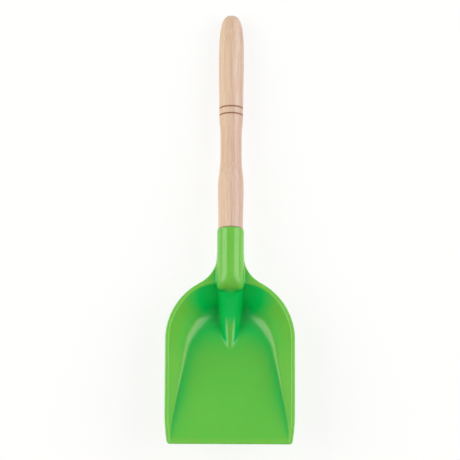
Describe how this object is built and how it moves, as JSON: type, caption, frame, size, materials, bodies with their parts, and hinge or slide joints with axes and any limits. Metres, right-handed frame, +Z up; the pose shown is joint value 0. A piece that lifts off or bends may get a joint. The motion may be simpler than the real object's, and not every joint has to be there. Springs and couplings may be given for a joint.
{
  "type": "sand shovel",
  "caption": "Child's sand shovel with a moulded plastic scoop, arched back and blind socket, on a turned wooden handle with a waist and burnt rings.",
  "frame": {"origin": "on the ground under the middle of the shovel's length and width, as it lies at rest", "axes": "+Z up out of the ground with the scoop's open side up, +Y along the shovel from the front edge to the end of the handle, +X to the right seen from the front edge"},
  "size_m": [0.121, 0.4166, 0.0514],
  "materials": {
    "green_plastic": "satin moulded polypropylene, leaf green",
    "beech": "sanded beech, clear matt varnish",
    "zinc_steel": "bright zinc plate"
  },
  "bodies": {
    "root": {"blade": "green_plastic", "handle": "beech", "screw": "zinc_steel"}
  },
  "joints": []
}
